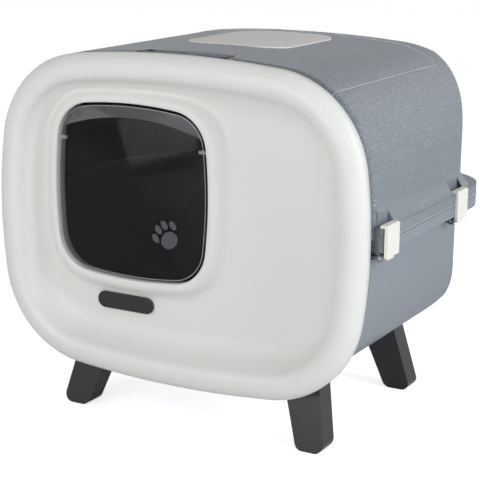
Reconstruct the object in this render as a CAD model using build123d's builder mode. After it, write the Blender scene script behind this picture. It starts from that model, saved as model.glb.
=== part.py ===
from build123d import *
from math import hypot, sqrt
import os

# Covered litter box. Millimetres, +Z up, the entry faces -Y.
# The origin is on the floor, under the centre of the bounding box.
# Depths named *_depth are counted back from the outer edge of the face.

# Face and body outline, seen from the front: four bulged sides and tangent corners
face_width = 500.0
face_height = 398.3
face_bottom = 65.0
side_bulge_r = 609.5
top_bulge_r = 1307.0
corner_r = 122.4
hood_width = 500.0
base_width = 492.0
body_top = 463.3
body_bottom = 77.0

# Body in depth
body_front_depth = 12.0
body_back_depth = 368.0
band_depth = 26.0
band_inset = 5.0
plan_corner_r = 105.0
roof_back_r = 40.0
floor_back_r = 80.0
tray_back_lean = 45.0
tray_knee_r = 60.0
profile_over = 1.0
wall = 2.5

# Joint between hood and base
seam_height = 274.0
hood_flange_thickness = 14.0
base_rim_thickness = 14.0
flange_width = 524.0
flange_front_depth = 22.0
flange_back_depth = 380.0
flange_corner_r = 85.0
flange_front_r = 6.0
flange_cove = 11.0
flange_cove_rise = 30.0
base_cove = 9.0
base_cove_rise = 14.0
cove_root = 2.5
cove_bury = 10.0

# Face panel
crest_proud = 10.0
crest_inset = 21.0
crest_r = 14.0
dish_inset = 71.0
dish_depth = 20.0
panel_wall = 3.0
rim_side_depth = 2.0
dish_floor_overlap = 9.0

# Entry and its collar
entry_width = 215.0
entry_height = 214.5
entry_x = -61.5
entry_z = 294.25
entry_side_r = 560.0
entry_top_r = 520.0
entry_corner_r = 47.0
collar_edge_depth = 5.0
collar_width = 20.0
collar_wall = 5.0
tunnel_depth = 24.0

# Front wall of the tray and the hood lip that carries the panel
tray_front_depth = 27.0
tray_sill_height = 178.0
sill_margin = 20.0
lip_inset = 38.0
lip_thickness = 3.0

# Panel screws
panel_screw_inset = 24.0
panel_screw_r = 1.8
panel_screw_length = 15.0
panel_screw_head_r = 4.0
panel_screw_head = 2.6
panel_boss_r = 4.5
panel_boss_front_depth = -6.5
panel_screw_top_x = 110.0
panel_screw_side_z = (30.0, 80.0)
screw_slack = 0.5
thread_slack = 0.05

# Entry flap
flap_gap = 2.0
flap_front_depth = 8.0
flap_sheet = 2.5
flap_rim = 10.0
flap_pivot_height = 352.4
flap_pivot_depth = 10.0
flap_pin_r = 2.5
flap_pin_socket = 3.0
flap_ear_r = 6.0
flap_ear_width = 9.0
pin_slack = 0.05
band_middle_drop = 18.0
band_side_drop = 37.0
band_thickness = 1.2
band_margin = 4.0
paw_x = -7.0
paw_z = 243.0
paw_thickness = 0.6
paw_tilt = 38.0
pad_width = 24.0
pad_height = 20.0
toe_width = 8.0
toe_height = 12.0
toe_ring_r = 19.0
toe_angles = (38.0, 74.0, 106.0, 142.0)

# Bare bar under the entry
bar_x = -76.0
bar_z = 154.0
bar_length = 80.0
bar_height = 21.0
bar_thickness = 4.0

# Roof lid
lid_half_width = 196.0
lid_front_gap = 0.8
lid_gap = 0.6
lid_back_gap = 1.2
lid_back_depth = 330.0
lid_seat_gap = 0.4
ledge_width = 10.0
ledge_root = 9.0
ledge_thickness = 2.5
lid_lowest = 405.0
hinge_depth = 335.0
hinge_below_roof = 3.0
knuckle_r = 3.0
knuckle_slack = 0.5
hinge_pin_r = 1.2
knuckle_inner_x = 14.0
knuckle_outer_x = 32.0
knuckle_end_x = 44.0
knuckle_side_gap = 0.5

# Fold-up handle and its well in the lid
well_half_width = 62.0
well_front_depth = 18.2
well_back_depth = 48.0
well_floor_height = 447.0
well_wall = 2.0
handle_half_width = 60.0
handle_arm = 7.0
handle_bar_front_depth = 20.0
handle_pivot_depth = 43.0
handle_pivot_height = 458.5
handle_thickness = 7.0
handle_pin_r = 1.8
handle_pin_reach = 6.0

# Filter cover, pad and grille
cover_half_width = 72.0
cover_front_depth = 131.0
cover_back_depth = 300.0
cover_corner_r = 36.0
cover_rise = 1.5
cover_thickness = 2.5
cover_side_gap = 0.5
cover_seat = 0.1
pad_half_width = 60.0
pad_front_depth = 150.0
pad_back_depth = 282.0
pad_thickness = 8.0
pad_slack = 1.0
grille_thickness = 2.0
grille_height = 449.0
grille_ledge = 5.0
grille_slots = 11
grille_slot_width = 5.0
grille_slot_half_length = 48.0

# Clips that hold the hood on the base
latch_width = 34.0
latch_front_depth_right = 37.0
latch_front_depth_left = 57.0
latch_rear_depth = 252.0
latch_outer_x = 266.0
latch_plate = 3.6
latch_hook = 3.0
latch_hook_lift = 0.6
latch_hook_reach = 9.0
latch_pivot_x = 257.5
latch_pivot_height = 254.0
latch_barrel_r = 4.0
latch_ear_width = 8.0
latch_ear_gap = 0.4
latch_pin_r = 1.6
latch_tail = -1.0
pocket_margin = 1.5
pocket_height = 16.0

# Legs
leg_outer_x = 187.0
leg_inner_x = 150.0
leg_outer_slope = 0.21
leg_inner_slope = 0.34
leg_depth_slope = 0.22
leg_thickness = 30.0
leg_front_depth = 54.0
leg_back_depth = 317.0
leg_height = 140.0
leg_toe_r = 11.0
leg_boss_r = 8.0
leg_boss_height = 102.0
leg_screw_r = 2.0
leg_screw_length = 41.0
leg_screw_head_r = 5.0
leg_screw_head = 3.0
leg_screw_aim_height = 85.0

face_y = -(flange_back_depth - crest_proud) / 2
face_mid = face_bottom + face_height / 2
body_mid = (body_top + body_bottom) / 2
body_height = body_top - body_bottom
hinge_height = body_top - hinge_below_roof
flange_top = seam_height + hood_flange_thickness
rim_bottom = seam_height - base_rim_thickness


def front_plane(depth):
    """Plane across the object, x to the right and y up, at a depth behind the face."""
    return Plane(origin=(0, face_y + depth, 0), x_dir=(1, 0, 0), z_dir=(0, -1, 0))


def outline_centres(width, height, side_r, top_r, round_r):
    """Centres of the side arc, the top arc and the corner arc of the first quadrant."""
    side = width / 2 - side_r
    top = height / 2 - top_r
    to_side = side_r - round_r
    to_top = top_r - round_r
    apart = hypot(side, top)
    along = (to_side**2 - to_top**2 + apart**2) / (2 * apart)
    off = sqrt(to_side**2 - along**2)
    ux = -side / apart
    uy = top / apart
    return side, top, side + along * ux - off * uy, along * uy + off * ux


def outline_points(shape, inset):
    """Mid side, side end, mid corner, top start and mid top of the first quadrant."""
    width, height, side_r, top_r, round_r = shape
    side, top, qx, qy = outline_centres(width, height, side_r, top_r, round_r)
    a = hypot(qx - side, qy)
    b = hypot(qx, qy - top)
    ends = ((qx - side) / a, qy / a), (qx / b, (qy - top) / b)
    mx = ends[0][0] + ends[1][0]
    my = ends[0][1] + ends[1][1]
    m = hypot(mx, my)
    r = round_r - inset
    side_end = (qx + r * ends[0][0], qy + r * ends[0][1])
    corner = (qx + r * mx / m, qy + r * my / m)
    top_start = (qx + r * ends[1][0], qy + r * ends[1][1])
    return (width / 2 - inset, 0), side_end, corner, top_start, (0, height / 2 - inset)


def outline_wire(shape, centre, inset=0.0):
    """Closed outline moved in by inset, starting half way up its right side."""
    cx, cz = centre
    mid, end, corner, start, top = outline_points(shape, inset)
    a = shape[2] - inset
    half_end = (shape[0] / 2 - shape[2], 0)
    lift = end[1] / 2
    half = (half_end[0] + sqrt(a**2 - lift**2), lift)

    def p(point, sx=1, sz=1):
        return (cx + sx * point[0], cz + sz * point[1])

    with BuildLine() as line:
        ThreePointArc(p(mid), p(half), p(end))
        ThreePointArc(p(end), p(corner), p(start))
        ThreePointArc(p(start), p(top), p(start, -1))
        ThreePointArc(p(start, -1), p(corner, -1), p(end, -1))
        ThreePointArc(p(end, -1), p(mid, -1), p(end, -1, -1))
        ThreePointArc(p(end, -1, -1), p(corner, -1, -1), p(start, -1, -1))
        ThreePointArc(p(start, -1, -1), p(top, 1, -1), p(start, 1, -1))
        ThreePointArc(p(start, 1, -1), p(corner, 1, -1), p(end, 1, -1))
        ThreePointArc(p(end, 1, -1), p(half, 1, -1), p(mid))
    return line.line


def outline_face(shape, centre, inset=0.0):
    wire = outline_wire(shape, centre, inset)
    with BuildSketch() as sketch:
        with BuildLine():
            add(wire)
        make_face()
    return sketch.sketch


face_shape = (face_width, face_height, side_bulge_r, top_bulge_r, corner_r)
hood_shape = (hood_width, body_height, side_bulge_r, top_bulge_r, corner_r)
base_shape = (base_width, body_height, side_bulge_r, top_bulge_r, corner_r)
entry_shape = (entry_width, entry_height, entry_side_r, entry_top_r, entry_corner_r)
face_centre = (0, face_mid)
body_centre = (0, body_mid)
entry_centre = (entry_x, entry_z)


def body_block(shape, inset, front=body_front_depth, lean=0.0):
    """Solid body, bevelled behind the face and rounded at the back, moved in by inset."""
    narrow = outline_face(shape, body_centre, band_inset + inset)
    full = outline_face(shape, body_centre, inset)
    width = shape[0]
    back = body_back_depth - inset
    with BuildPart() as bevel:
        with BuildSketch(front_plane(body_front_depth)):
            add(narrow)
        with BuildSketch(front_plane(band_depth)):
            add(full)
        loft(ruled=True)
    with BuildPart() as block:
        with BuildSketch(front_plane(band_depth)):
            add(full)
        extrude(amount=-(back - band_depth))
        with BuildSketch(Plane.XY):
            with Locations((0, face_y + back - 500)):
                RectangleRounded(width - 2 * inset, 1000, plan_corner_r - inset)
        extrude(amount=600, mode=Mode.INTERSECT)
        with BuildSketch(Plane.YZ):
            top = body_top - inset + profile_over
            low = body_bottom + inset - profile_over
            y0 = face_y
            y1 = face_y + back + profile_over
            profile = [(y0, low), (y1 - lean, low)]
            radii = [floor_back_r - inset]
            if lean:
                profile.append((y1, rim_bottom - base_cove))
                radii.append(tray_knee_r - inset)
            profile += [(y1, top), (y0, top)]
            radii.append(roof_back_r - inset)
            with BuildLine():
                FilletPolyline(*profile, radius=radii)
                Line((y0, top), (y0, low))
            make_face()
        extrude(amount=width, both=True, mode=Mode.INTERSECT)
        add(bevel.part)
        if front > body_front_depth:
            with BuildSketch(front_plane(front)):
                Rectangle(2 * width, 4 * body_top)
            extrude(amount=front, mode=Mode.SUBTRACT)
    return block.part


def flange_slab(low, high, inset=0.0):
    """Level slab with the plan of the joint between hood and base."""
    with BuildPart() as slab:
        with BuildSketch(Plane.XY.offset(low)) as plan:
            with Locations((0, face_y + (flange_front_depth + flange_back_depth) / 2)):
                Rectangle(
                    flange_width - 2 * inset,
                    flange_back_depth - flange_front_depth - 2 * inset,
                )
            back = plan.vertices().group_by(Axis.Y)[-1]
            fillet(back, flange_corner_r - inset)
            front = plan.vertices().group_by(Axis.Y)[0]
            fillet(front, flange_front_r)
        extrude(amount=high - low)
    return slab.part


def box(x0, x1, d0, d1, z0, z1):
    """Box between two widths, two depths behind the face and two heights."""
    with BuildPart() as block:
        with Locations(((x0 + x1) / 2, face_y + (d0 + d1) / 2, (z0 + z1) / 2)):
            Box(x1 - x0, d1 - d0, z1 - z0)
    return block.part


def rod(x0, x1, depth, height, radius):
    """Round bar along X."""
    with BuildPart() as bar:
        with Locations(((x0 + x1) / 2, face_y + depth, height)):
            Cylinder(radius, x1 - x0, rotation=(0, 90, 0))
    return bar.part


def long_rod(depth, length, x, height, radius):
    """Round bar along Y, centred on a depth behind the face."""
    with BuildPart() as bar:
        with Locations((x, face_y + depth, height)):
            Cylinder(radius, length, rotation=(90, 0, 0))
    return bar.part


def stud(x, depth, z0, z1, radius):
    """Upright round bar."""
    with BuildPart() as bar:
        with Locations((x, face_y + depth, (z0 + z1) / 2)):
            Cylinder(radius, z1 - z0)
    return bar.part


def cove_strip(width, level, size, rise):
    """Hollow curve between the body wall and the flange, above or below its level."""
    edge = width / 2
    front = face_y + band_depth
    back = face_y + body_back_depth
    with BuildLine(Plane.XY.offset(level)) as track:
        FilletPolyline(
            (edge, front), (edge, back), (-edge, back), (-edge, front), radius=plan_corner_r
        )
    with BuildPart() as strip:
        with BuildSketch(Plane(origin=(0, front, 0), x_dir=(1, 0, 0), z_dir=(0, -1, 0))):
            with BuildLine():
                fall = -1 if rise > 0 else 1
                TangentArc(
                    (edge - cove_root, level + rise), (edge + size, level), tangent=(0, fall)
                )
                Polyline(
                    (edge + size, level), (edge - cove_bury, level),
                    (edge - cove_bury, level + rise), (edge - cove_root, level + rise),
                )
            make_face()
        sweep(path=track.line)
    return strip.part


def put_out(piece, name):
    piece.label = name
    export_step(piece, f"parts/{name}.step")


os.makedirs("parts", exist_ok=True)

hood_outer = body_block(hood_shape, 0)
hood_inner = body_block(hood_shape, wall)
base_outer = body_block(base_shape, 0, lean=tray_back_lean)
base_inner = body_block(base_shape, wall, tray_front_depth + wall, tray_back_lean)
above_seam = box(-400, 400, -50, 500, seam_height, 600)
below_seam = box(-400, 400, -50, 500, -10, seam_height)

# Clips: places of every clip, and the notch that clears a clip on the body
latch_places = [
    (-1, latch_front_depth_left),
    (-1, latch_rear_depth),
    (1, latch_front_depth_right),
    (1, latch_rear_depth),
]


def sided_box(side, x0, x1, d0, d1, z0, z1):
    """Box on the left (-1) or the right (1) of the object."""
    low = min(side * x0, side * x1)
    high = max(side * x0, side * x1)
    return box(low, high, d0, d1, z0, z1)


# Face panel: swept rim and dish edge, dish floor, swept collar round the entry
face_path = outline_wire(face_shape, face_centre)
entry_path = outline_wire(entry_shape, entry_centre)
dish_r = ((dish_inset - crest_inset) ** 2 + (dish_depth + crest_proud) ** 2) / (
    2 * (dish_depth + crest_proud)
) - crest_r
half_face = face_width / 2
turn_x = crest_inset + (dish_inset - crest_inset) * crest_r / (crest_r + dish_r)
turn_y = -crest_proud + (dish_depth + crest_proud) * crest_r / (crest_r + dish_r)


def rim_point(inset, depth):
    return (half_face - inset, face_y + depth)


def arc_middle(centre, radius, start, end):
    """Point of an arc half way between two of its points."""
    mx = (start[0] + end[0]) / 2 - centre[0]
    my = (start[1] + end[1]) / 2 - centre[1]
    m = hypot(mx, my)
    return (centre[0] + radius * mx / m, centre[1] + radius * my / m)


crest_c = (crest_inset, crest_r - crest_proud)
dish_c = (dish_inset, dish_depth - dish_r)
unit = (
    (turn_x - crest_c[0]) / crest_r,
    (turn_y - crest_c[1]) / crest_r,
)
back_turn = (turn_x - panel_wall * unit[0], turn_y - panel_wall * unit[1])
crest_front = (crest_inset, -crest_proud)
crest_back = (crest_inset, panel_wall - crest_proud)
dish_front = (dish_inset, dish_depth)
dish_back = (dish_inset, dish_depth + panel_wall)
rim_rise = crest_proud + rim_side_depth
rim_r = (crest_inset**2 + rim_rise**2) / (2 * rim_rise)
rim_c = (crest_inset, rim_r - crest_proud)
rim_start = (0, rim_side_depth)
rim_span = sqrt((rim_r - panel_wall) ** 2 - (crest_inset - panel_wall) ** 2)
rim_start_back = (panel_wall, rim_c[1] - rim_span)
rim_round = arc_middle(rim_c, rim_r, rim_start, crest_front)
rim_round_back = arc_middle(rim_c, rim_r - panel_wall, rim_start_back, crest_back)

with BuildPart() as rim_ring:
    with BuildSketch(Plane.XY.offset(face_mid)):
        with BuildLine():
            Line(rim_point(0, body_front_depth), rim_point(0, rim_side_depth))
            ThreePointArc(
                rim_point(0, rim_side_depth), rim_point(*rim_round), rim_point(*crest_front)
            )
            ThreePointArc(
                rim_point(*crest_front),
                rim_point(*arc_middle(crest_c, crest_r, crest_front, (turn_x, turn_y))),
                rim_point(turn_x, turn_y),
            )
            ThreePointArc(
                rim_point(turn_x, turn_y),
                rim_point(*arc_middle(dish_c, dish_r, (turn_x, turn_y), dish_front)),
                rim_point(*dish_front),
            )
            Line(rim_point(*dish_front), rim_point(dish_inset + dish_floor_overlap, dish_depth))
            Line(
                rim_point(dish_inset + dish_floor_overlap, dish_depth),
                rim_point(dish_inset + dish_floor_overlap, dish_depth + panel_wall),
            )
            Line(
                rim_point(dish_inset + dish_floor_overlap, dish_depth + panel_wall),
                rim_point(*dish_back),
            )
            ThreePointArc(
                rim_point(*dish_back),
                rim_point(*arc_middle(dish_c, dish_r + panel_wall, back_turn, dish_back)),
                rim_point(*back_turn),
            )
            ThreePointArc(
                rim_point(*back_turn),
                rim_point(*arc_middle(crest_c, crest_r - panel_wall, crest_back, back_turn)),
                rim_point(*crest_back),
            )
            ThreePointArc(
                rim_point(*crest_back),
                rim_point(*rim_round_back),
                rim_point(*rim_start_back),
            )
            Line(rim_point(*rim_start_back), rim_point(panel_wall, body_front_depth))
            Line(rim_point(panel_wall, body_front_depth), rim_point(0, body_front_depth))
        make_face()
    sweep(path=front_plane(0) * face_path)

entry_side = entry_x + entry_width / 2


def collar_point(out, depth):
    return (entry_side + out, face_y + depth)


with BuildPart() as collar:
    with BuildSketch(Plane.XY.offset(entry_z)):
        with BuildLine():
            Polyline(
                collar_point(0, tunnel_depth),
                collar_point(0, collar_edge_depth + 1.5),
                collar_point(1.5, collar_edge_depth),
                collar_point(collar_wall + 2, collar_edge_depth + 1.5),
                collar_point(collar_width, dish_depth + panel_wall / 3),
                collar_point(collar_width, dish_depth + panel_wall * 2 / 3),
                collar_point(collar_width - 2, dish_depth + panel_wall * 2 / 3),
                collar_point(collar_wall + 1, collar_edge_depth + 7),
                collar_point(collar_wall, tunnel_depth),
                close=True,
            )
        make_face()
    sweep(path=front_plane(0) * entry_path)

# Panel screws, on the outline moved in, above the joint
side_c, top_c, _, _ = outline_centres(*face_shape)
screw_spots = []
for sign in (-1, 1):
    reach = top_bulge_r - panel_screw_inset
    rise = top_c + sqrt(reach**2 - panel_screw_top_x**2)
    screw_spots.append((sign * panel_screw_top_x, face_mid + rise))
    for lift in panel_screw_side_z:
        reach = side_bulge_r - panel_screw_inset
        across = side_c + sqrt(reach**2 - lift**2)
        screw_spots.append((sign * across, face_mid + lift))

floor_face = outline_face(face_shape, face_centre, dish_inset + dish_floor_overlap)
lip_back_depth = body_front_depth + lip_thickness

pivot_lift = flap_pivot_height - entry_z
pivot_half = entry_width / 2 - entry_side_r + sqrt(entry_side_r**2 - pivot_lift**2)
entry_clear = outline_face(entry_shape, entry_centre, -collar_wall / 2)

with BuildPart() as front_panel:
    add(rim_ring.part)
    with BuildSketch(front_plane(dish_depth)):
        add(floor_face)
    extrude(amount=-panel_wall)
    with BuildSketch(front_plane(-2 * crest_proud)):
        add(entry_clear)
    extrude(amount=-4 * dish_depth, mode=Mode.SUBTRACT)
    add(collar.part)
    with BuildSketch(front_plane(panel_boss_front_depth)):
        with Locations(*screw_spots):
            Circle(panel_boss_r)
    extrude(amount=-(body_front_depth - panel_boss_front_depth))
    with BuildSketch(front_plane(lip_back_depth - panel_screw_length - 1)):
        with Locations(*screw_spots):
            Circle(panel_screw_r + thread_slack)
    extrude(amount=-panel_screw_length, mode=Mode.SUBTRACT)
    socket_reach = pivot_half + flap_pin_socket
    add(
        rod(
            entry_x - socket_reach,
            entry_x + socket_reach,
            flap_pivot_depth,
            flap_pivot_height,
            flap_pin_r + pin_slack,
        ),
        mode=Mode.SUBTRACT,
    )
put_out(front_panel.part, "front_panel")

with BuildPart() as panel_screws:
    with BuildSketch(front_plane(lip_back_depth)):
        with Locations(*screw_spots):
            Circle(panel_screw_r)
    extrude(amount=panel_screw_length)
    with BuildSketch(front_plane(lip_back_depth)):
        with Locations(*screw_spots):
            Circle(panel_screw_head_r)
    extrude(amount=-panel_screw_head)
put_out(panel_screws.part, "panel_screws")

with BuildPart() as badge_bar:
    with BuildSketch(front_plane(dish_depth)):
        with Locations((bar_x, bar_z)):
            SlotOverall(bar_length, bar_height)
    extrude(amount=bar_thickness)
    fillet(badge_bar.faces().sort_by(Axis.Y)[0].edges(), bar_thickness / 3)
put_out(badge_bar.part, "badge_bar")

# Entry flap: clear sheet with a turned-back rim, swinging on two pins
flap_outline = outline_face(entry_shape, entry_centre, flap_gap)
flap_inside = outline_face(entry_shape, entry_centre, flap_gap + flap_sheet)
flap_back_depth = flap_front_depth + flap_rim
ear_inner = pivot_half - flap_gap - flap_ear_width
ear_outer = pivot_half - flap_gap - flap_sheet / 2
pin_reach = pivot_half + flap_pin_socket - 0.3
sheet_back_depth = flap_front_depth + flap_sheet

with BuildPart() as entry_flap:
    with BuildSketch(front_plane(flap_front_depth)):
        add(flap_outline)
    extrude(amount=-flap_rim)
    with BuildSketch(front_plane(sheet_back_depth)):
        add(flap_inside)
    extrude(amount=-flap_rim, mode=Mode.SUBTRACT)
    for sign in (-1, 1):
        near = entry_x + sign * ear_inner
        far = entry_x + sign * ear_outer
        add(
            rod(min(near, far), max(near, far), flap_pivot_depth, flap_pivot_height, flap_ear_r)
            & box(-300, 300, flap_front_depth, flap_back_depth, 0, 600)
        )
    socket = flap_pin_r + pin_slack
    add(
        rod(entry_x - socket_reach, entry_x + socket_reach, flap_pivot_depth, flap_pivot_height, socket)
        - box(
            entry_x - ear_inner, entry_x + ear_inner, -50, 50,
            flap_pivot_height - 20, flap_pivot_height + 20,
        ),
        mode=Mode.SUBTRACT,
    )
put_out(entry_flap.part, "entry_flap")

with BuildPart() as flap_pins:
    add(
        rod(
            entry_x - pin_reach, entry_x + pin_reach, flap_pivot_depth, flap_pivot_height, flap_pin_r
        )
        - box(
            entry_x - ear_inner, entry_x + ear_inner, -50, 50,
            flap_pivot_height - 20, flap_pivot_height + 20,
        )
    )
put_out(flap_pins.part, "flap_pins")

entry_top = entry_z + entry_height / 2
band_outline = outline_face(entry_shape, entry_centre, flap_gap + flap_sheet + band_margin / 10)
band_side_x = entry_width / 2 - flap_gap - flap_sheet
with BuildPart() as flap_top_band:
    with BuildSketch(front_plane(sheet_back_depth)):
        add(band_outline)
        with BuildLine():
            ThreePointArc(
                (entry_x - band_side_x, entry_top - band_side_drop),
                (entry_x, entry_top - band_middle_drop),
                (entry_x + band_side_x, entry_top - band_side_drop),
            )
            Polyline(
                (entry_x + band_side_x, entry_top - band_side_drop),
                (entry_x + band_side_x, entry_top + 2 * band_side_drop),
                (entry_x - band_side_x, entry_top + 2 * band_side_drop),
                (entry_x - band_side_x, entry_top - band_side_drop),
            )
        make_face(mode=Mode.INTERSECT)
    extrude(amount=-band_thickness)
put_out(flap_top_band.part, "flap_top_band")

with BuildPart() as paw_mark:
    with BuildSketch(front_plane(flap_front_depth)):
        with Locations(Location((paw_x, paw_z), paw_tilt)):
            Ellipse(pad_width / 2, pad_height / 2)
            for angle in toe_angles:
                with Locations(Vector(toe_ring_r, 0, 0).rotate(Axis.Z, angle)):
                    Ellipse(toe_width / 2, toe_height / 2)
    extrude(amount=paw_thickness)
put_out(paw_mark.part, "paw_mark")

# Roof lid openings shared by hood and lid
seat = wall + lid_seat_gap
lid_box = box(
    -lid_half_width, lid_half_width, body_front_depth + lid_front_gap,
    lid_back_depth - lid_back_gap, lid_lowest, 600,
)
lid_room = box(
    -lid_half_width - lid_gap, lid_half_width + lid_gap, -50, lid_back_depth, lid_lowest, 600,
)
hood_seat = body_block(hood_shape, seat)
hood_ledge_out = body_block(hood_shape, wall / 2)
hood_ledge_in = body_block(hood_shape, seat + ledge_thickness)
ledge_room = box(
    -lid_half_width + ledge_width, lid_half_width - ledge_width, -50,
    lid_back_depth - ledge_width, 0, 600,
)
ledge_span = box(
    -lid_half_width - ledge_root, lid_half_width + ledge_root, body_front_depth,
    lid_back_depth + 2 * ledge_root, lid_lowest, 600,
)
ledge = (hood_ledge_out - hood_ledge_in) & ledge_span
ledge = ledge - ledge_room
lid_cut = (hood_outer - hood_seat) & lid_room
lip_outer = outline_face(hood_shape, body_centre, band_inset + wall / 2)
lip_inner = outline_face(hood_shape, body_centre, lip_inset)
knuckle_spans = [(-knuckle_outer_x, -knuckle_inner_x), (knuckle_inner_x, knuckle_outer_x)]
hood_knuckles = [
    (-knuckle_end_x, -knuckle_outer_x - knuckle_side_gap),
    (-knuckle_inner_x + knuckle_side_gap, knuckle_inner_x - knuckle_side_gap),
    (knuckle_outer_x + knuckle_side_gap, knuckle_end_x),
]
latch_clear = latch_width / 2 + pocket_margin
pocket_x = hood_width / 2 + 0.4

with BuildPart() as hood:
    add(hood_outer)
    add(flange_slab(seam_height, flange_top))
    add(cove_strip(hood_width, flange_top, flange_cove, flange_cove_rise))
    add(above_seam, mode=Mode.INTERSECT)
    add(hood_inner, mode=Mode.SUBTRACT)
    with BuildSketch(front_plane(body_front_depth)) as lip:
        add(lip_outer)
        add(lip_inner, mode=Mode.SUBTRACT)
        with Locations((0, seam_height / 2)):
            Rectangle(2 * hood_width, seam_height, mode=Mode.SUBTRACT)
        with Locations(*screw_spots):
            Circle(panel_screw_r + screw_slack, mode=Mode.SUBTRACT)
    extrude(amount=-lip_thickness)
    add(ledge)
    add(lid_cut, mode=Mode.SUBTRACT)
    for side, depth in latch_places:
        add(
            sided_box(
                side, pocket_x, latch_outer_x + pocket_margin, depth - latch_clear,
                depth + latch_clear, flange_top, flange_top + pocket_height,
            ),
            mode=Mode.SUBTRACT,
        )
    for x0, x1 in knuckle_spans:
        add(
            rod(
                x0 - knuckle_side_gap, x1 + knuckle_side_gap, hinge_depth, hinge_height,
                knuckle_r + knuckle_slack,
            ),
            mode=Mode.SUBTRACT,
        )
        add(
            box(
                x0 - knuckle_side_gap, x1 + knuckle_side_gap, lid_back_depth - 3 * lid_back_gap,
                hinge_depth + knuckle_r, hinge_height - knuckle_r - knuckle_slack, 600,
            ),
            mode=Mode.SUBTRACT,
        )
    for x0, x1 in hood_knuckles:
        add(rod(x0, x1, hinge_depth, hinge_height, knuckle_r))
    add(
        rod(-knuckle_end_x, knuckle_end_x, hinge_depth, hinge_height, hinge_pin_r + pin_slack),
        mode=Mode.SUBTRACT,
    )
put_out(hood.part, "hood")

# Base tray: pan, rim, recessed front wall, screw bosses and clip ears
socket_room = body_block(base_shape, wall, lean=tray_back_lean) & box(
    -400, 400, -50, tray_front_depth, -10, 600
)
leg_spots = []
for side in (-1, 1):
    for depth, lean in ((leg_front_depth, 1), (leg_back_depth, -1)):
        outer = leg_outer_x - leg_outer_slope * leg_screw_aim_height
        inner = leg_inner_x - leg_inner_slope * leg_screw_aim_height
        leg_spots.append(
            (side * (outer + inner) / 2, depth + lean * leg_depth_slope * leg_screw_aim_height)
        )
ear_reach = latch_width / 2
ear_root_x = base_width / 2 - band_inset - wall

with BuildPart() as base_tray:
    add(base_outer)
    add(flange_slab(rim_bottom, seam_height))
    add(cove_strip(base_width, rim_bottom, base_cove, -base_cove_rise))
    add(below_seam, mode=Mode.INTERSECT)
    for side, depth in latch_places:
        for sign in (-1, 1):
            near = depth + sign * (ear_reach - latch_ear_width)
            far = depth + sign * ear_reach
            add(
                long_rod(
                    (near + far) / 2, latch_ear_width, side * latch_pivot_x,
                    latch_pivot_height, latch_barrel_r,
                )
            )
            add(
                sided_box(
                    side, ear_root_x, latch_pivot_x, min(near, far), max(near, far),
                    latch_pivot_height - latch_barrel_r / 2,
                    latch_pivot_height + latch_barrel_r / 2,
                )
            )
    add(base_inner, mode=Mode.SUBTRACT)
    add(socket_room, mode=Mode.SUBTRACT)
    add(
        box(
            entry_x - entry_width / 2 - sill_margin, entry_x + entry_width / 2 + sill_margin,
            tray_front_depth - 1, tray_front_depth + wall + 1, tray_sill_height, 600,
        ),
        mode=Mode.SUBTRACT,
    )
    for x, depth in leg_spots:
        add(stud(x, depth, body_bottom - 20, leg_boss_height, leg_boss_r) & base_outer)
        add(
            stud(x, depth, 0, leg_boss_height + 1, leg_screw_r + screw_slack),
            mode=Mode.SUBTRACT,
        )
    for side, depth in latch_places:
        add(
            long_rod(
                depth, latch_width + 1, side * latch_pivot_x, latch_pivot_height,
                latch_pin_r + pin_slack,
            ),
            mode=Mode.SUBTRACT,
        )
put_out(base_tray.part, "base_tray")

# Clips and their pins
for side, depth in latch_places:
    where = ("rear" if depth == latch_rear_depth else "front") + (
        "_left" if side < 0 else "_right"
    )
    inner_x = latch_outer_x - latch_plate
    hook_low = flange_top + latch_hook_lift
    tube = latch_width - 2 * latch_ear_width - 2 * latch_ear_gap
    with BuildPart() as latch:
        add(
            sided_box(
                side, inner_x, latch_outer_x, depth - ear_reach, depth + ear_reach,
                latch_pivot_height - latch_tail, hook_low + latch_hook,
            )
        )
        add(
            sided_box(
                side, latch_outer_x - latch_hook_reach, latch_outer_x,
                depth - ear_reach, depth + ear_reach, hook_low, hook_low + latch_hook,
            )
        )
        fillet(
            latch.edges().filter_by(Axis.Y).group_by(Axis.Z)[-1].sort_by(
                lambda edge: abs(edge.center().X)
            )[-1],
            latch_hook * 0.8,
        )
        add(long_rod(depth, tube, side * latch_pivot_x, latch_pivot_height, latch_barrel_r))
        add(
            sided_box(
                side, latch_pivot_x, inner_x + 1, depth - tube / 2, depth + tube / 2,
                latch_pivot_height - latch_barrel_r * 0.75,
                latch_pivot_height + latch_barrel_r * 0.75,
            )
        )
        add(
            long_rod(
                depth, tube + 1, side * latch_pivot_x, latch_pivot_height,
                latch_pin_r + pin_slack,
            ),
            mode=Mode.SUBTRACT,
        )
    put_out(latch.part, f"latch_{where}")
    latch_pin = long_rod(
        depth, latch_width, side * latch_pivot_x, latch_pivot_height, latch_pin_r
    )
    put_out(latch_pin, f"latch_pin_{where}")

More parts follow.
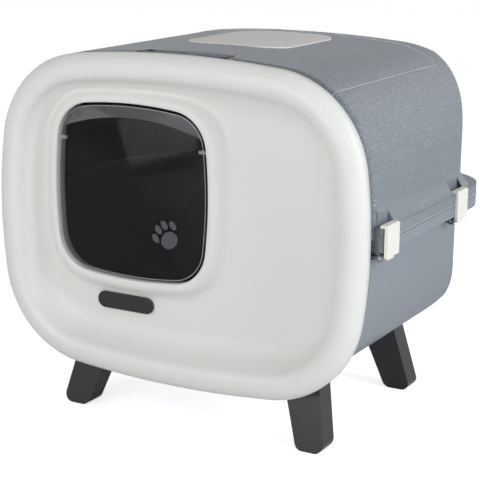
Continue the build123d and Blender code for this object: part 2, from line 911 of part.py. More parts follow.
# Legs, cut to the underside of the tray, and their screws
leg_lift = leg_height
leg_out_shift = leg_outer_slope * leg_lift
leg_in_shift = leg_inner_slope * leg_lift
for side in (-1, 1):
    for place, depth, lean in (("front", leg_front_depth, 1), ("rear", leg_back_depth, -1)):
        low_mid = side * (leg_outer_x + leg_inner_x) / 2
        low_width = leg_outer_x - leg_inner_x
        high_outer = leg_outer_x - leg_out_shift
        high_inner = leg_inner_x - leg_in_shift
        high_mid = side * (high_outer + high_inner) / 2
        high_y = face_y + depth + lean * leg_depth_slope * leg_lift
        with BuildPart() as leg:
            with BuildSketch(Plane.XY):
                with Locations((low_mid, face_y + depth)):
                    Rectangle(low_width, leg_thickness)
            with BuildSketch(Plane.XY.offset(leg_lift)):
                with Locations((high_mid, high_y)):
                    Rectangle(high_outer - high_inner, leg_thickness)
            loft(ruled=True)
            toes = leg.edges().group_by(Axis.Z)[0].filter_by(Axis.Y)
            fillet(toes, leg_toe_r)
            add(base_outer, mode=Mode.SUBTRACT)
            for x, spot in leg_spots:
                if x * side > 0 and abs(spot - depth) < (leg_back_depth - leg_front_depth) / 2:
                    low = leg_boss_height - leg_screw_length - 1
                    add(
                        stud(x, spot, low, leg_boss_height, leg_screw_r + thread_slack),
                        mode=Mode.SUBTRACT,
                    )
        hand = "left" if side < 0 else "right"
        put_out(leg.part, f"leg_{place}_{hand}")

with BuildPart() as leg_screws:
    for x, depth in leg_spots:
        add(stud(x, depth, leg_boss_height - leg_screw_length, leg_boss_height, leg_screw_r))
        top = leg_boss_height + leg_screw_head
        add(stud(x, depth, leg_boss_height, top, leg_screw_head_r))
put_out(leg_screws.part, "leg_screws")

# Roof lid with its handle well and its filter well
pad_room = pad_half_width + pad_slack
filter_front = pad_front_depth - pad_slack
filter_back = pad_back_depth + pad_slack
well_room = box(
    -well_half_width, well_half_width, well_front_depth, well_back_depth,
    well_floor_height, 600,
)
well_shell = box(
    -well_half_width - well_wall, well_half_width + well_wall,
    well_front_depth - well_wall, well_back_depth + well_wall,
    well_floor_height - well_wall, 600,
)
filter_room = box(-pad_room, pad_room, filter_front, filter_back, grille_height, 600)
filter_shell = box(
    -pad_room - well_wall, pad_room + well_wall, filter_front - well_wall,
    filter_back + well_wall, grille_height - well_wall, 600,
)
filter_hole = box(
    -pad_room + grille_ledge, pad_room - grille_ledge, filter_front + grille_ledge,
    filter_back - grille_ledge, 0, 600,
)


def cover_prism(gap):
    """Upright prism with the plan of the filter cover, widened by a gap."""
    with BuildPart() as prism:
        with BuildSketch(Plane.XY.offset(body_bottom)):
            with Locations((0, face_y + (cover_front_depth + cover_back_depth) / 2)):
                RectangleRounded(
                    2 * (cover_half_width + gap),
                    cover_back_depth - cover_front_depth + 2 * gap,
                    cover_corner_r + gap,
                )
        extrude(amount=body_top)
    return prism.part


cover_low = cover_thickness - cover_rise
hood_under = body_block(hood_shape, wall)
cover_seat_block = body_block(hood_shape, cover_low + cover_seat)
cover_under = body_block(hood_shape, cover_low)
cover_over = body_block(hood_shape, -cover_rise)

with BuildPart() as roof_lid:
    add(hood_outer)
    add(lid_box, mode=Mode.INTERSECT)
    add(hood_under, mode=Mode.SUBTRACT)
    add(well_shell & cover_under)
    add(filter_shell & cover_under)
    add(well_room, mode=Mode.SUBTRACT)
    add(filter_room, mode=Mode.SUBTRACT)
    add(filter_hole, mode=Mode.SUBTRACT)
    add((cover_prism(cover_side_gap) & hood_outer) - cover_seat_block, mode=Mode.SUBTRACT)
    for x0, x1 in knuckle_spans:
        add(rod(x0, x1, hinge_depth, hinge_height, knuckle_r))
        add(
            box(
                x0, x1, lid_back_depth - 2 * lid_back_gap, hinge_depth,
                hinge_height - knuckle_r / 2, hinge_height + knuckle_r / 2,
            )
        )
    add(
        rod(-knuckle_end_x, knuckle_end_x, hinge_depth, hinge_height, hinge_pin_r + pin_slack),
        mode=Mode.SUBTRACT,
    )
    pin_end = well_half_width + well_wall
    add(
        rod(
            -pin_end - 1, pin_end + 1, handle_pivot_depth, handle_pivot_height,
            handle_pin_r + pin_slack,
        ),
        mode=Mode.SUBTRACT,
    )
put_out(roof_lid.part, "roof_lid")

lid_hinge_pin = rod(-knuckle_end_x, knuckle_end_x, hinge_depth, hinge_height, hinge_pin_r)
put_out(lid_hinge_pin, "lid_hinge_pin")

arm_inner = handle_half_width - handle_arm
half_thick = handle_thickness / 2
with BuildPart() as lid_handle:
    add(
        box(
            -handle_half_width, handle_half_width, handle_bar_front_depth, handle_pivot_depth,
            handle_pivot_height - half_thick, handle_pivot_height + half_thick,
        )
    )
    fillet(lid_handle.edges().filter_by(Axis.Z).group_by(Axis.Y)[0], handle_arm)
    add(
        rod(
            -handle_half_width, handle_half_width, handle_pivot_depth, handle_pivot_height,
            half_thick,
        )
    )
    add(
        box(
            -arm_inner, arm_inner, handle_bar_front_depth + handle_arm,
            handle_pivot_depth + handle_thickness, 0, 600,
        ),
        mode=Mode.SUBTRACT,
    )
    add(
        rod(
            -handle_half_width - 1, handle_half_width + 1, handle_pivot_depth,
            handle_pivot_height, handle_pin_r + pin_slack,
        ),
        mode=Mode.SUBTRACT,
    )
put_out(lid_handle.part, "lid_handle")

with BuildPart() as handle_pins:
    for side in (-1, 1):
        inner = side * (handle_half_width - handle_pin_reach)
        outer = side * (well_half_width + well_wall)
        add(
            rod(
                min(inner, outer), max(inner, outer), handle_pivot_depth,
                handle_pivot_height, handle_pin_r,
            )
        )
put_out(handle_pins.part, "handle_pins")

with BuildPart() as filter_cover:
    add(cover_prism(0))
    add(cover_over, mode=Mode.INTERSECT)
    add(cover_under, mode=Mode.SUBTRACT)
    add(box(-400, 400, -50, 500, lid_lowest, 600), mode=Mode.INTERSECT)
put_out(filter_cover.part, "filter_cover")

pad_low = grille_height + grille_thickness + 0.3
with BuildPart() as carbon_filter:
    add(
        box(
            -pad_half_width, pad_half_width, pad_front_depth, pad_back_depth,
            pad_low, pad_low + pad_thickness,
        )
    )
    fillet(carbon_filter.edges().filter_by(Axis.Z), 3)
put_out(carbon_filter.part, "carbon_filter")

slot_pitch = (filter_back - filter_front - 4 * grille_ledge) / (grille_slots - 1)
with BuildPart() as filter_grille:
    with BuildSketch(Plane.XY.offset(grille_height)):
        with Locations((0, face_y + (filter_front + filter_back) / 2)):
            Rectangle(2 * pad_half_width, pad_back_depth - pad_front_depth)
            with GridLocations(0, slot_pitch, 1, grille_slots):
                Rectangle(
                    2 * grille_slot_half_length, grille_slot_width, mode=Mode.SUBTRACT
                )
    extrude(amount=grille_thickness)
put_out(filter_grille.part, "filter_grille")
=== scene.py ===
import math

import bmesh
import bpy
from mathutils import Matrix, Vector


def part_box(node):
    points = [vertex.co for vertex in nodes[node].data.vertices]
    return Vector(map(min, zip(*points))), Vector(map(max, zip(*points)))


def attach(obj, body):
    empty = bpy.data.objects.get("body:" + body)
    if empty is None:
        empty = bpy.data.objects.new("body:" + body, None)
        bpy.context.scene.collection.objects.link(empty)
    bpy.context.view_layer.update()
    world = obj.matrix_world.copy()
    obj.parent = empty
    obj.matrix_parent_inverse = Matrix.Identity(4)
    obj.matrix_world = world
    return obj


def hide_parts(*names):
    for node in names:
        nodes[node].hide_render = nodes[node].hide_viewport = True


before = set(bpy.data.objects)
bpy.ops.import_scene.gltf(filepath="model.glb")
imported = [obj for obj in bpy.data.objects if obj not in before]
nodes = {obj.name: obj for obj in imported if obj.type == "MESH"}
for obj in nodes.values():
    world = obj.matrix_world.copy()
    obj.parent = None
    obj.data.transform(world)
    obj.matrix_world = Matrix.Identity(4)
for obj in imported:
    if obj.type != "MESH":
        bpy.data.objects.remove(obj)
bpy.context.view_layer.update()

# Sizes in metres, as in the solids; depths are counted back from the face's outer edge
FACE_Y = -0.185
RIM_BACK = 0.012
TUNNEL_BACK = 0.024
FACE_SKIN = 0.003
TUNNEL_SKIN = 0.004
BEVEL_BACK = 0.026
BEVEL_INSET = 0.005
LID_HALF_WIDTH = 0.1956
SEAM_Z = 0.274

# Outlines: width, height, side, top and corner radius, each with its centre in x and z
FACE = (0.500, 0.3983, 0.6095, 1.307, 0.1224)
FACE_C = (0.0, 0.26415)
HOOD = (0.500, 0.3863, 0.6095, 1.307, 0.1224)
HOOD_C = (0.0, 0.27015)
ENTRY = (0.215, 0.2145, 0.560, 0.520, 0.047)
ENTRY_C = (-0.0615, 0.29425)


def corner(shape):
    """Side, top and corner arc centres of the first quadrant."""
    w, h, rs, rt, rc = shape
    cs, ct = w / 2 - rs, h / 2 - rt
    a, b = rs - rc, rt - rc
    d = math.hypot(cs, ct)
    along = (a * a - b * b + d * d) / (2 * d)
    off = math.sqrt(a * a - along * along)
    ux, uy = -cs / d, ct / d
    return cs, ct, cs + along * ux - off * uy, along * uy + off * ux


ARCS = {shape: corner(shape) for shape in (FACE, HOOD, ENTRY)}
HALVINGS = 30
SEARCH_REACH = 0.6
WELD = 1e-6


def inset(shape, centre, x, z):
    """How far a point lies inside an outline, negative outside."""
    cs, ct, qx, qz = ARCS[shape]
    x, z = abs(x - centre[0]), abs(z - centre[1])
    if z * (qx - cs) < qz * (x - cs):
        return shape[2] - math.hypot(x - cs, z)
    if x * (qz - ct) < qx * (z - ct):
        return shape[3] - math.hypot(x, z - ct)
    return shape[4] - math.hypot(x - qx, z - qz)


def on_ray(shape, centre, origin, angle, value=0.0):
    """Distance along a ray from origin at which the inset has a value."""
    low, high = 0.0, SEARCH_REACH
    ux, uz = math.cos(angle), math.sin(angle)
    for _ in range(HALVINGS):
        mid = (low + high) / 2
        if inset(shape, centre, origin[0] + mid * ux, origin[1] + mid * uz) > value:
            low = mid
        else:
            high = mid
    return low


def new_object(name, verts, faces, smooth=True):
    """Mesh object with welded points and outward faces."""
    mesh = bpy.data.meshes.new(name)
    mesh.from_pydata(verts, [], faces)
    mesh.update()
    bm = bmesh.new()
    bm.from_mesh(mesh)
    bmesh.ops.remove_doubles(bm, verts=bm.verts, dist=WELD)
    bmesh.ops.recalc_face_normals(bm, faces=bm.faces)
    bm.to_mesh(mesh)
    bm.free()
    for face in mesh.polygons:
        face.use_smooth = smooth
    obj = bpy.data.objects.new(name, mesh)
    bpy.context.scene.collection.objects.link(obj)
    return obj


def skin(name, loops, close=True):
    """Closed loops of equal length joined into a surface, the last to the first if closed."""
    count = len(loops[0])
    verts = [point for loop in loops for point in loop]
    faces = []
    rows = len(loops) if close else len(loops) - 1
    for row in range(rows):
        a, b = row * count, ((row + 1) % len(loops)) * count
        for i in range(count):
            j = (i + 1) % count
            faces.append((a + i, a + j, b + j, b + i))
    if not close:
        faces.append(tuple(range(count)))
        faces.append(tuple(range((len(loops) - 1) * count, len(loops) * count))[::-1])
    return new_object(name, verts, faces)


def rounded(name, low, high, radius, steps=4):
    """Smooth block with rounded edges between two corners."""
    bm = bmesh.new()
    bmesh.ops.create_cube(bm, size=1)
    for v in bm.verts:
        v.co = Vector(
            (low[i] + (v.co[i] + 0.5) * (high[i] - low[i])) for i in range(3)
        )
    bmesh.ops.bevel(
        bm, geom=bm.edges[:], offset=radius, segments=steps, profile=0.5, affect="EDGES"
    )
    mesh = bpy.data.meshes.new(name)
    bm.to_mesh(mesh)
    bm.free()
    for face in mesh.polygons:
        face.use_smooth = True
    obj = bpy.data.objects.new(name, mesh)
    bpy.context.scene.collection.objects.link(obj)
    return obj


# Materials; the cabin value is painted shade, darkening the colour of the walls that face the
# middle of the cabin
CABIN_C = (0.0, 0.0, 0.27)
CLOUD_SCALE = 14
POLISH_SPREAD = 0.06
# Depths behind the face over which the groove's painted shadow fades out
GROOVE_SHADOW_START = 0.014
GROOVE_SHADOW_END = 0.028


def material(
    name, colour, rough, grain_size=0.002, tint=0.04, metal=0.0, coat=0.0, wear=0.1,
    pebble=None, bump_depth=0.0002, spec=0.5, alpha=1.0, cabin=0.0,
):
    """Plastic, metal or foam with grain, bump, colour variation and edge wear, and with painted
    shade inside the cabin and behind the face if asked.
    """
    mat = bpy.data.materials.new(name)
    mat.use_nodes = True
    tree = mat.node_tree
    shader = tree.nodes["Principled BSDF"]
    shader.inputs["Metallic"].default_value = metal
    shader.inputs["Coat Weight"].default_value = coat
    shader.inputs["Coat Roughness"].default_value = 0.15
    shader.inputs["Specular IOR Level"].default_value = spec
    shader.inputs["Alpha"].default_value = alpha

    def add(kind, **values):
        node = tree.nodes.new(kind)
        for key, value in values.items():
            setattr(node, key, value)
        return node

    def link(a, b):
        tree.links.new(a, b)

    def noise(scale, detail=2.0):
        node = add("ShaderNodeTexNoise")
        node.inputs["Scale"].default_value = scale
        node.inputs["Detail"].default_value = detail
        link(place, node.inputs["Vector"])
        return node

    def spread(source, to_low, to_high, from_low=0.0, from_high=1.0, **kind):
        """Source carried from one range of values to another."""
        node = add("ShaderNodeMapRange", **kind)
        node.inputs["From Min"].default_value = from_low
        node.inputs["From Max"].default_value = from_high
        node.inputs["To Min"].default_value = to_low
        node.inputs["To Max"].default_value = to_high
        link(source, node.inputs["Value"])
        return node.outputs["Result"]

    def multiplied(colours, amount):
        """Colours times an amount between 0 and 1."""
        node = add("ShaderNodeMix", data_type="RGBA", blend_type="MULTIPLY")
        node.inputs["Factor"].default_value = 1.0
        link(colours, node.inputs["A"])
        link(amount, node.inputs["B"])
        return node.outputs["Result"]

    coords = add("ShaderNodeTexCoord")
    place = coords.outputs["Object"]
    cloud = noise(CLOUD_SCALE, 5).outputs["Fac"]
    height = noise(1 / grain_size, 3).outputs["Fac"]

    # Colour: slow variation, then paler worn edges
    shade = add("ShaderNodeMix", data_type="RGBA")
    shade.inputs["A"].default_value = (*[c * (1 - tint) for c in colour], 1)
    shade.inputs["B"].default_value = (*[min(1, c * (1 + tint)) for c in colour], 1)
    link(cloud, shade.inputs["Factor"])
    worn = add("ShaderNodeMix", data_type="RGBA")
    worn.inputs["B"].default_value = (*[min(1, c * 1.25 + 0.03) for c in colour], 1)
    sharp = add("ShaderNodeNewGeometry").outputs["Pointiness"]
    link(spread(sharp, 0, wear, 0.52, 0.62), worn.inputs["Factor"])
    link(shade.outputs["Result"], worn.inputs["A"])
    colour_out = worn.outputs["Result"]

    # Pebbles: warped cells with dark joints between them
    if pebble:
        small = add("ShaderNodeVectorMath", operation="SCALE")
        small.inputs["Scale"].default_value = pebble * 0.9
        link(noise(0.6 / pebble).outputs["Color"], small.inputs[0])
        warp = add("ShaderNodeVectorMath", operation="ADD")
        link(place, warp.inputs[0])
        link(small.outputs["Vector"], warp.inputs[1])
        cells = add("ShaderNodeTexVoronoi", feature="DISTANCE_TO_EDGE")
        cells.inputs["Scale"].default_value = 1 / pebble
        link(warp.outputs["Vector"], cells.inputs["Vector"])
        crown = spread(
            cells.outputs["Distance"], 0, 1, from_high=0.28, interpolation_type="SMOOTHSTEP"
        )
        both = add("ShaderNodeMath", operation="MULTIPLY_ADD")
        both.inputs[1].default_value = 0.35
        link(height, both.inputs[0])
        link(crown, both.inputs[2])
        height = both.outputs["Value"]
        colour_out = multiplied(colour_out, spread(crown, 0.80, 1))

    # Painted shade on the walls inside the cabin, and a painted shadow in the groove behind the
    # face
    if cabin:
        offset = add("ShaderNodeVectorMath", operation="SUBTRACT")
        offset.inputs[1].default_value = CABIN_C
        link(place, offset.inputs[0])
        facing = add("ShaderNodeVectorMath", operation="DOT_PRODUCT")
        link(offset.outputs["Vector"], facing.inputs[0])
        link(coords.outputs["Normal"], facing.inputs[1])
        parts = add("ShaderNodeSeparateXYZ")
        link(place, parts.inputs[0])
        painted_shade = add("ShaderNodeMath", operation="MULTIPLY")
        link(spread(facing.outputs["Value"], cabin, 1, -0.02, 0), painted_shade.inputs[0])
        groove_shadow = spread(parts.outputs["Y"], 0.45, 1, FACE_Y + GROOVE_SHADOW_START, FACE_Y + GROOVE_SHADOW_END)
        link(groove_shadow, painted_shade.inputs[1])
        colour_out = multiplied(colour_out, painted_shade.outputs["Value"])

    link(colour_out, shader.inputs["Base Color"])
    polish = spread(cloud, max(0.02, rough - POLISH_SPREAD), rough + POLISH_SPREAD)
    link(polish, shader.inputs["Roughness"])
    bump = add("ShaderNodeBump")
    bump.inputs["Strength"].default_value = 1.0
    bump.inputs["Distance"].default_value = bump_depth
    link(height, bump.inputs["Height"])
    link(bump.outputs["Normal"], shader.inputs["Normal"])
    return mat


FACE_MAT = material("face_plastic", (0.735, 0.74, 0.715), 0.42, grain_size=0.0012, tint=0.012,
                    wear=0.05, bump_depth=0.00003)
# The hood and the base get painted shade inside the cabin and a painted shadow in the groove
# behind the face
HOOD_MAT = material("hood_plastic", (0.31, 0.345, 0.385), 0.32, grain_size=0.0009, tint=0.05,
                    metal=0.35, pebble=0.0030, bump_depth=0.00042, wear=0.2, cabin=0.16)
BASE_MAT = material("base_plastic", (0.265, 0.295, 0.335), 0.38, grain_size=0.0010, tint=0.03,
                    metal=0.25, bump_depth=0.00006, wear=0.25, cabin=0.16)
BLACK_MAT = material("black_plastic", (0.012, 0.012, 0.013), 0.22, grain_size=0.0015, tint=0.1,
                     bump_depth=0.00002, wear=0.04, coat=0.3)
CREAM_MAT = material("cream_plastic", (0.80, 0.78, 0.72), 0.38, grain_size=0.001, tint=0.02,
                     bump_depth=0.00003, wear=0.05)
COVER_MAT = material("cover_plastic", (0.74, 0.73, 0.71), 0.45, grain_size=0.001, tint=0.02,
                     bump_depth=0.00004, wear=0.05)
DARK_MAT = material("dark_plastic", (0.030, 0.032, 0.035), 0.4, grain_size=0.001, tint=0.08,
                    bump_depth=0.00005, wear=0.06)
INNER_MAT = material("band_plastic", (0.17, 0.17, 0.18), 0.45, grain_size=0.001, tint=0.05,
                     bump_depth=0.00003, wear=0.03)
MARK_MAT = material("mark_plastic", (0.060, 0.064, 0.072), 0.4, grain_size=0.001, tint=0.04,
                    bump_depth=0.00003, wear=0.03)
STEEL_MAT = material("plain_steel", (0.55, 0.55, 0.56), 0.3, grain_size=0.0006, tint=0.05,
                     metal=1.0, bump_depth=0.00003, wear=0.1)
FOAM_MAT = material("carbon_foam", (0.02, 0.02, 0.021), 0.9, grain_size=0.0011, tint=0.2,
                    bump_depth=0.0005, wear=0.0, pebble=0.0022)
GLASS_MAT = material("clear_acrylic", (0.020, 0.022, 0.026), 0.05, grain_size=0.004, tint=0.01,
                     bump_depth=0.000003, wear=0.0, alpha=0.14, spec=0.8)
# Pale clear grey for the flap's pins and for the painted highlight of the flap's rim bead
RIM_MAT = material("clear_rim", (0.50, 0.52, 0.55), 0.08, grain_size=0.004, tint=0.01,
                   bump_depth=0.000003, wear=0.0, alpha=0.42, spec=0.9)
BEZEL_MAT = material("bezel_plastic", (0.42, 0.44, 0.47), 0.3, grain_size=0.001, tint=0.03,
                     bump_depth=0.00002, wear=0.05, metal=0.4)
# Pale colour for the painted highlight lines along the lid's edge and the hood's joint
SEAM_HIGHLIGHT_MAT = material("painted_seam_highlight", (0.55, 0.60, 0.66), 0.3, grain_size=0.001, tint=0.03,
                    bump_depth=0.00002, wear=0.05, metal=0.3)


def dress(obj, mat):
    """One material on a piece's own mesh."""
    obj.data.materials.clear()
    obj.data.materials.append(mat)


def dress_node(name, mat):
    """One material on a solid, set on the object so that its mesh stays as it is."""
    obj = nodes[name]
    if not obj.material_slots:
        obj.data.materials.append(mat)
    for slot in obj.material_slots:
        slot.link = "OBJECT"
        slot.material = mat


for name in nodes:
    if name.startswith("leg_") and name != "leg_screws" or name == "badge_bar":
        dress_node(name, BLACK_MAT)
    elif name.startswith("latch_pin") or name in (
        "leg_screws", "panel_screws", "lid_hinge_pin", "handle_pins"
    ):
        dress_node(name, STEEL_MAT)
    elif name.startswith("latch_"):
        dress_node(name, CREAM_MAT)
for name, mat in {
    "hood": HOOD_MAT,
    "roof_lid": HOOD_MAT,
    "lid_handle": DARK_MAT,
    "base_tray": BASE_MAT,
    "front_panel": FACE_MAT,
    "filter_cover": COVER_MAT,
    "filter_grille": DARK_MAT,
    "flap_top_band": INNER_MAT,
    "paw_mark": MARK_MAT,
    "flap_pins": RIM_MAT,
    "entry_flap": GLASS_MAT,
    "carbon_filter": FOAM_MAT,
}.items():
    dress_node(name, mat)

# Face: one moulded skin from the entry's edge over the collar and the dish to the crest
CREST_IN, CREST_R, DISH_IN, DISH_DEEP, PROUD = 0.021, 0.014, 0.071, 0.020, 0.010
DISH_DROP = DISH_DEEP + PROUD
DISH_R = ((DISH_IN - CREST_IN) ** 2 + DISH_DROP**2) / (2 * DISH_DROP) - CREST_R
TURN = CREST_IN + (DISH_IN - CREST_IN) * CREST_R / (CREST_R + DISH_R)
RIM_RISE = PROUD + 0.002
RIM_R = (CREST_IN**2 + RIM_RISE**2) / (2 * RIM_RISE)
COLLAR_EDGE, COLLAR_ROUND, COLLAR_FLAT = 0.005, 0.0022, 0.005
COLLAR_SLOPE, COLLAR_SINK = 0.024, 0.004


def dish(d):
    """Depth of the rim and the dish at a distance inside the face's edge."""
    if d >= DISH_IN:
        return DISH_DEEP
    if d > TURN:
        return DISH_DEEP - DISH_R + math.sqrt(DISH_R**2 - (DISH_IN - d) ** 2)
    if d > CREST_IN:
        return CREST_R - PROUD - math.sqrt(CREST_R**2 - (d - CREST_IN) ** 2)
    return RIM_R - PROUD - math.sqrt(max(0, RIM_R**2 - (CREST_IN - d) ** 2))


def collar(d):
    """Depth of the collar at a distance outside the entry's edge."""
    edge = COLLAR_EDGE + max(0, COLLAR_ROUND - d) ** 2 / (2 * COLLAR_ROUND)
    t = min(1, max(0, (d - COLLAR_FLAT) / COLLAR_SLOPE))
    return edge + (DISH_DEEP + COLLAR_SINK - COLLAR_EDGE) * t * t * (3 - 2 * t)


def smooth_min(a, b, k):
    """Smaller of two depths, blended over a width k."""
    h = max(0.0, 1 - abs(a - b) / k)
    return min(a, b) - h * h * k / 4


def face_depth(x, z):
    """Depth of the face's front surface."""
    a = dish(max(0, inset(FACE, FACE_C, x, z)))
    b = collar(-inset(ENTRY, ENTRY_C, x, z))
    return smooth_min(a, b, 0.007)


AROUND, ACROSS = 480, 150
rays = []
for i in range(AROUND):
    angle = 2 * math.pi * i / AROUND
    near = on_ray(ENTRY, ENTRY_C, ENTRY_C, angle)
    rays.append((angle, near, on_ray(FACE, FACE_C, ENTRY_C, angle)))


def on_face(angle, reach):
    """X and z of a point on a ray from the entry's centre."""
    return ENTRY_C[0] + reach * math.cos(angle), ENTRY_C[1] + reach * math.sin(angle)


def surface_loop(share, start=0.0, shrink=0.0, lift=0.0):
    """Loop on the face's surface, a share of the way from the entry's edge to the face's."""
    loop = []
    for angle, near, far in rays:
        x, z = on_face(angle, near + start + (far - near - shrink) * share)
        loop.append((x, FACE_Y + face_depth(x, z) + lift, z))
    return loop


def level_loop(depth, reaches):
    """Loop at one depth, with its own reach on each ray."""
    loop = []
    for (angle, _, _), reach in zip(rays, reaches):
        x, z = on_face(angle, reach)
        loop.append((x, FACE_Y + depth, z))
    return loop


face_loops = [surface_loop(row / ACROSS) for row in range(ACROSS + 1)]
face_loops.append(level_loop(RIM_BACK, [far for _, _, far in rays]))
face_loops.append(level_loop(RIM_BACK, [far - FACE_SKIN for _, _, far in rays]))
for row in range(ACROSS - 1, 0, -1):
    face_loops.append(
        surface_loop(row / ACROSS, TUNNEL_SKIN, TUNNEL_SKIN + FACE_SKIN, FACE_SKIN)
    )
face_loops.append(level_loop(TUNNEL_BACK, [near + TUNNEL_SKIN for _, near, _ in rays]))
face_loops.append(level_loop(TUNNEL_BACK, [near for _, near, _ in rays]))
face_piece = skin("face_shell", face_loops)
dress(face_piece, FACE_MAT)
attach(face_piece, "shell")
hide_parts("front_panel")


def outline_loop(shape, centre, value, depth, count=240):
    """Outline moved in by value, at a depth behind the face."""
    loop = []
    for i in range(count):
        angle = 2 * math.pi * i / count
        r = on_ray(shape, centre, centre, angle, value)
        x = centre[0] + r * math.cos(angle)
        z = centre[1] + r * math.sin(angle)
        loop.append((x, FACE_Y + depth, z))
    return loop


# Flap: clear sheet with a rounded edge and a turned-back rim, as inset and depth
GAP, SHEET = 0.002, 0.0025
flap_profile = [
    (GAP + 0.0026, 0.008),
    (GAP + 0.0014, 0.0083),
    (GAP + 0.0005, 0.0091),
    (GAP, 0.0105),
    (GAP, 0.0172),
    (GAP + 0.0006, 0.018),
    (GAP + 0.0019, 0.018),
    (GAP + SHEET, 0.0172),
    (GAP + SHEET, 0.0115),
    (GAP + SHEET + 0.001, 0.0105),
]
flap_loops = [outline_loop(ENTRY, ENTRY_C, value, depth) for value, depth in flap_profile]
flap = skin("flap_tray", flap_loops, close=False)
dress(flap, GLASS_MAT)
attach(flap, "flap")
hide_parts("entry_flap")

# Rim bead round the flap's edge, with a pale colour that paints its highlight
BEAD_INSET, BEAD_DEPTH, BEAD_R, BEAD_SIDES = 0.0042, 0.0078, 0.0006, 8
bead_loops = []
for step in range(BEAD_SIDES):
    a = 2 * math.pi * step / BEAD_SIDES
    value = BEAD_INSET + BEAD_R * math.cos(a)
    bead_loops.append(outline_loop(ENTRY, ENTRY_C, value, BEAD_DEPTH + BEAD_R * math.sin(a)))
bead = skin("flap_edge_highlight", bead_loops)
dress(bead, RIM_MAT)
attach(bead, "flap")


def roof_point(x, depth, lift=0.0):
    """Point of the hood's top surface, which is lower in the bevel behind the face."""
    sunk = BEVEL_INSET * max(0.0, (BEVEL_BACK - depth) / (BEVEL_BACK - RIM_BACK))
    low, high = HOOD_C[1], HOOD_C[1] + 0.2
    for _ in range(HALVINGS):
        mid = (low + high) / 2
        if inset(HOOD, HOOD_C, x, mid) > sunk:
            low = mid
        else:
            high = mid
    return Vector((x, FACE_Y + depth, low + lift))


def bead_along(name, points, radius, mat, body, closed=False, sides=8):
    """Thin round bead along a line of points."""
    loops = []
    for i, point in enumerate(points):
        if closed:
            ahead = points[(i + 1) % len(points)] - points[i - 1]
        else:
            ahead = points[min(i + 1, len(points) - 1)] - points[max(i - 1, 0)]
        ahead.normalize()
        side = ahead.cross(Vector((0, 0, 1))).normalized()
        over = side.cross(ahead)
        ring = []
        for k in range(sides):
            a = 2 * math.pi * k / sides
            ring.append(tuple(point + radius * (side * math.cos(a) + over * math.sin(a))))
        loops.append(ring)
    obj = skin(name, loops, closed)
    dress(obj, mat)
    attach(obj, body)
    return obj


# Edge of the roof lid: a painted highlight line along its two sides and its back
LID_FRONT, LID_RUN, LID_BACK = 0.0145, 0.3125, 0.3276
EDGE_R = 0.0005
lid_side = [LID_FRONT + LID_RUN * i / 60 for i in range(61)]
lid_line = [roof_point(-LID_HALF_WIDTH, depth) for depth in lid_side]
lid_line += [roof_point(LID_HALF_WIDTH * (i / 40 - 1), LID_BACK) for i in range(1, 80)]
lid_line += [roof_point(LID_HALF_WIDTH, depth) for depth in lid_side[::-1]]
bead_along("lid_edge_highlight", lid_line, EDGE_R, SEAM_HIGHLIGHT_MAT, "lid")

# Rim of the handle well, round four corners
WELL_X, WELL_FRONT, WELL_BACK, WELL_R, WELL_LIFT, WELL_BEAD = (
    0.0585, 0.0217, 0.0445, 0.0042, 0.0002, 0.0008
)
well = []
for cx, cy, start in (
    (WELL_X, WELL_BACK, 0),
    (-WELL_X, WELL_BACK, 90),
    (-WELL_X, WELL_FRONT, 180),
    (WELL_X, WELL_FRONT, 270),
):
    for k in range(9):
        a = math.radians(start + 90 * k / 8)
        x = cx + WELL_R * math.cos(a)
        well.append(roof_point(x, cy + WELL_R * math.sin(a), WELL_LIFT))
bead_along("well_rim", well, WELL_BEAD, BEZEL_MAT, "lid", True)

# Joint between hood and base: a painted highlight line over a painted shadow line in the gap,
# round the flange
FLANGE_X, FLANGE_FRONT, FLANGE_BACK, FLANGE_R = 0.262, 0.030, 0.380, 0.085
SIDE_STEPS, TURN_STEPS, BACK_STEPS = 20, 24, 10
corner_x = FLANGE_X - FLANGE_R
corner_depth = FLANGE_BACK - FLANGE_R
flange = []
for k in range(SIDE_STEPS + 1):
    depth = FLANGE_FRONT + (corner_depth - FLANGE_FRONT) * k / SIDE_STEPS
    flange.append(Vector((FLANGE_X, FACE_Y + depth, 0.0)))
for k in range(1, TURN_STEPS):
    a = math.pi / 2 * k / TURN_STEPS
    x = corner_x + FLANGE_R * math.cos(a)
    flange.append(Vector((x, FACE_Y + corner_depth + FLANGE_R * math.sin(a), 0.0)))
for k in range(BACK_STEPS):
    flange.append(Vector((corner_x * (1 - k / BACK_STEPS), FACE_Y + FLANGE_BACK, 0.0)))
flange += [Vector((-p.x, p.y, 0.0)) for p in flange[::-1]]
for name, height, mat in (
    ("seam_edge_highlight", SEAM_Z + 0.0007, SEAM_HIGHLIGHT_MAT),
    ("seam_gap_shadow", SEAM_Z - 0.0003, DARK_MAT),
):
    line = [p + Vector((0, 0, height)) for p in flange]
    bead_along(name, line, EDGE_R, mat, "shell")

# Carbon pad: crowned foam block, thinner towards its edges
PAD_ROUND, PAD_CUTS, PAD_EDGE, PAD_CROWN = 0.0025, 4, 0.86, 0.14
low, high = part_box("carbon_filter")
pad = rounded("carbon_pad", low, high, PAD_ROUND)
bm = bmesh.new()
bm.from_mesh(pad.data)
bmesh.ops.subdivide_edges(bm, edges=bm.edges[:], cuts=PAD_CUTS, use_grid_fill=True)
mid = [(low[i] + high[i]) / 2 for i in range(3)]
for v in bm.verts:
    fx = 1 - abs(v.co.x - mid[0]) / ((high[0] - low[0]) / 2)
    fy = 1 - abs(v.co.y - mid[1]) / ((high[1] - low[1]) / 2)
    v.co.z = mid[2] + (v.co.z - mid[2]) * (PAD_EDGE + PAD_CROWN * min(1, 3 * min(fx, fy)))
bm.to_mesh(pad.data)
bm.free()
dress(pad, FOAM_MAT)
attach(pad, "cover")
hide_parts("carbon_filter")


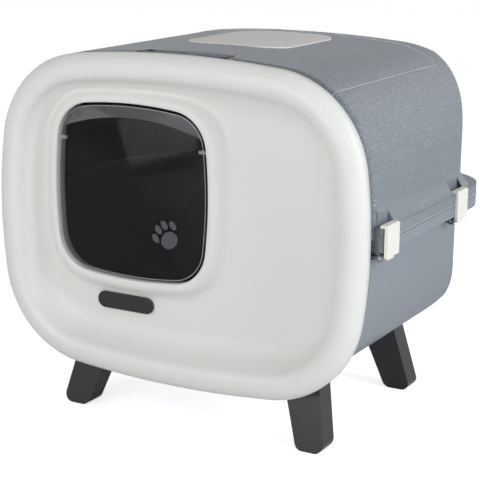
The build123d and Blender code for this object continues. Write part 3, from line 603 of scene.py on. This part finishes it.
def seen_directly(tree):
    """Output that is 1 for rays from the camera or through clear plastic, else 0."""
    path = tree.nodes.new("ShaderNodeLightPath")
    either = tree.nodes.new("ShaderNodeMath")
    either.operation = "MAXIMUM"
    tree.links.new(path.outputs["Is Camera Ray"], either.inputs[0])
    tree.links.new(path.outputs["Is Transmission Ray"], either.inputs[1])
    return either.outputs[0]


# Floor: keeps the shadow, and glows only where it is seen directly
FLOOR_COLOUR, FLOOR_GLOW, FLOOR_REACH = 0.85, 0.72, 6
floor_mat = bpy.data.materials.new("floor")
floor_mat.use_nodes = True
tree = floor_mat.node_tree
tree.nodes.clear()
plain = tree.nodes.new("ShaderNodeBsdfDiffuse")
plain.inputs["Color"].default_value = (FLOOR_COLOUR, FLOOR_COLOUR, FLOOR_COLOUR, 1)
strength = tree.nodes.new("ShaderNodeMath")
strength.operation = "MULTIPLY"
strength.inputs[1].default_value = FLOOR_GLOW
tree.links.new(seen_directly(tree), strength.inputs[0])
glow = tree.nodes.new("ShaderNodeEmission")
tree.links.new(strength.outputs[0], glow.inputs["Strength"])
both = tree.nodes.new("ShaderNodeAddShader")
tree.links.new(plain.outputs[0], both.inputs[0])
tree.links.new(glow.outputs[0], both.inputs[1])
out = tree.nodes.new("ShaderNodeOutputMaterial")
tree.links.new(both.outputs[0], out.inputs["Surface"])
floor_signs = ((-1, -1), (1, -1), (1, 1), (-1, 1))
floor_corners = [(x * FLOOR_REACH, y * FLOOR_REACH, 0) for x, y in floor_signs]
floor = new_object("floor", floor_corners, [(0, 1, 2, 3)], False)
dress(floor, floor_mat)

# World: white where it is seen directly, else brighter at the horizon than overhead
HORIZON, OVERHEAD = 0.70, 0.14
world = bpy.data.worlds.new("studio")
bpy.context.scene.world = world
world.use_nodes = True
tree = world.node_tree
tree.nodes.clear()
sky = tree.nodes.new("ShaderNodeTexCoord")
level = tree.nodes.new("ShaderNodeSeparateXYZ")
tree.links.new(sky.outputs["Generated"], level.inputs[0])
fade = tree.nodes.new("ShaderNodeMapRange")
fade.inputs["From Min"].default_value = 0.1
fade.inputs["From Max"].default_value = 0.9
fade.inputs["To Min"].default_value = HORIZON
fade.inputs["To Max"].default_value = OVERHEAD
tree.links.new(level.outputs["Z"], fade.inputs["Value"])
dim = tree.nodes.new("ShaderNodeBackground")
dim.inputs["Color"].default_value = (1, 1, 1, 1)
tree.links.new(fade.outputs["Result"], dim.inputs["Strength"])
bright = tree.nodes.new("ShaderNodeBackground")
bright.inputs["Color"].default_value = (1, 1, 1, 1)
bright.inputs["Strength"].default_value = 1.0
mix = tree.nodes.new("ShaderNodeMixShader")
tree.links.new(seen_directly(tree), mix.inputs["Fac"])
tree.links.new(dim.outputs[0], mix.inputs[1])
tree.links.new(bright.outputs[0], mix.inputs[2])
out = tree.nodes.new("ShaderNodeOutputWorld")
tree.links.new(mix.outputs[0], out.inputs["Surface"])


def lamp(name, where, aim, size, power, colour=(1, 1, 1)):
    """Soft box at a place, aimed at a point."""
    light = bpy.data.lights.new(name, "AREA")
    light.shape = "RECTANGLE"
    light.size, light.size_y = size
    light.energy = power
    light.color = colour
    obj = bpy.data.objects.new(name, light)
    obj.location = where
    obj.rotation_euler = (Vector(aim) - Vector(where)).to_track_quat("-Z", "Y").to_euler()
    bpy.context.scene.collection.objects.link(obj)


lamp("front_box", (-0.5, -2.6, 1.1), (0, 0, 0.25), (1.6, 1.6), 27)
lamp("right_box", (2.4, -0.3, 1.2), (0.1, 0, 0.3), (1.0, 1.4), 40, (0.94, 0.97, 1))
lamp("back_box", (0.8, 2.4, 1.6), (0, 0, 0.3), (1.6, 1.0), 4)

# Camera, fitted to the photograph
camera_data = bpy.data.cameras.new("camera")
camera_data.lens = 110.04
camera_data.sensor_width = 36
camera_data.clip_end = 50
camera = bpy.data.objects.new("camera", camera_data)
right = Vector((0.874383, 0.485075, 0.012498))
up = Vector((-0.126635, 0.203254, 0.970902))
back = Vector((0.468421, -0.850523, 0.239150))
turn = Matrix((right, up, back)).transposed().to_4x4()
camera.matrix_world = Matrix.Translation((0.87803, FACE_Y - 1.42648, 0.65931)) @ turn
bpy.context.scene.collection.objects.link(camera)
bpy.context.scene.camera = camera
bpy.context.scene.view_settings.view_transform = "Standard"
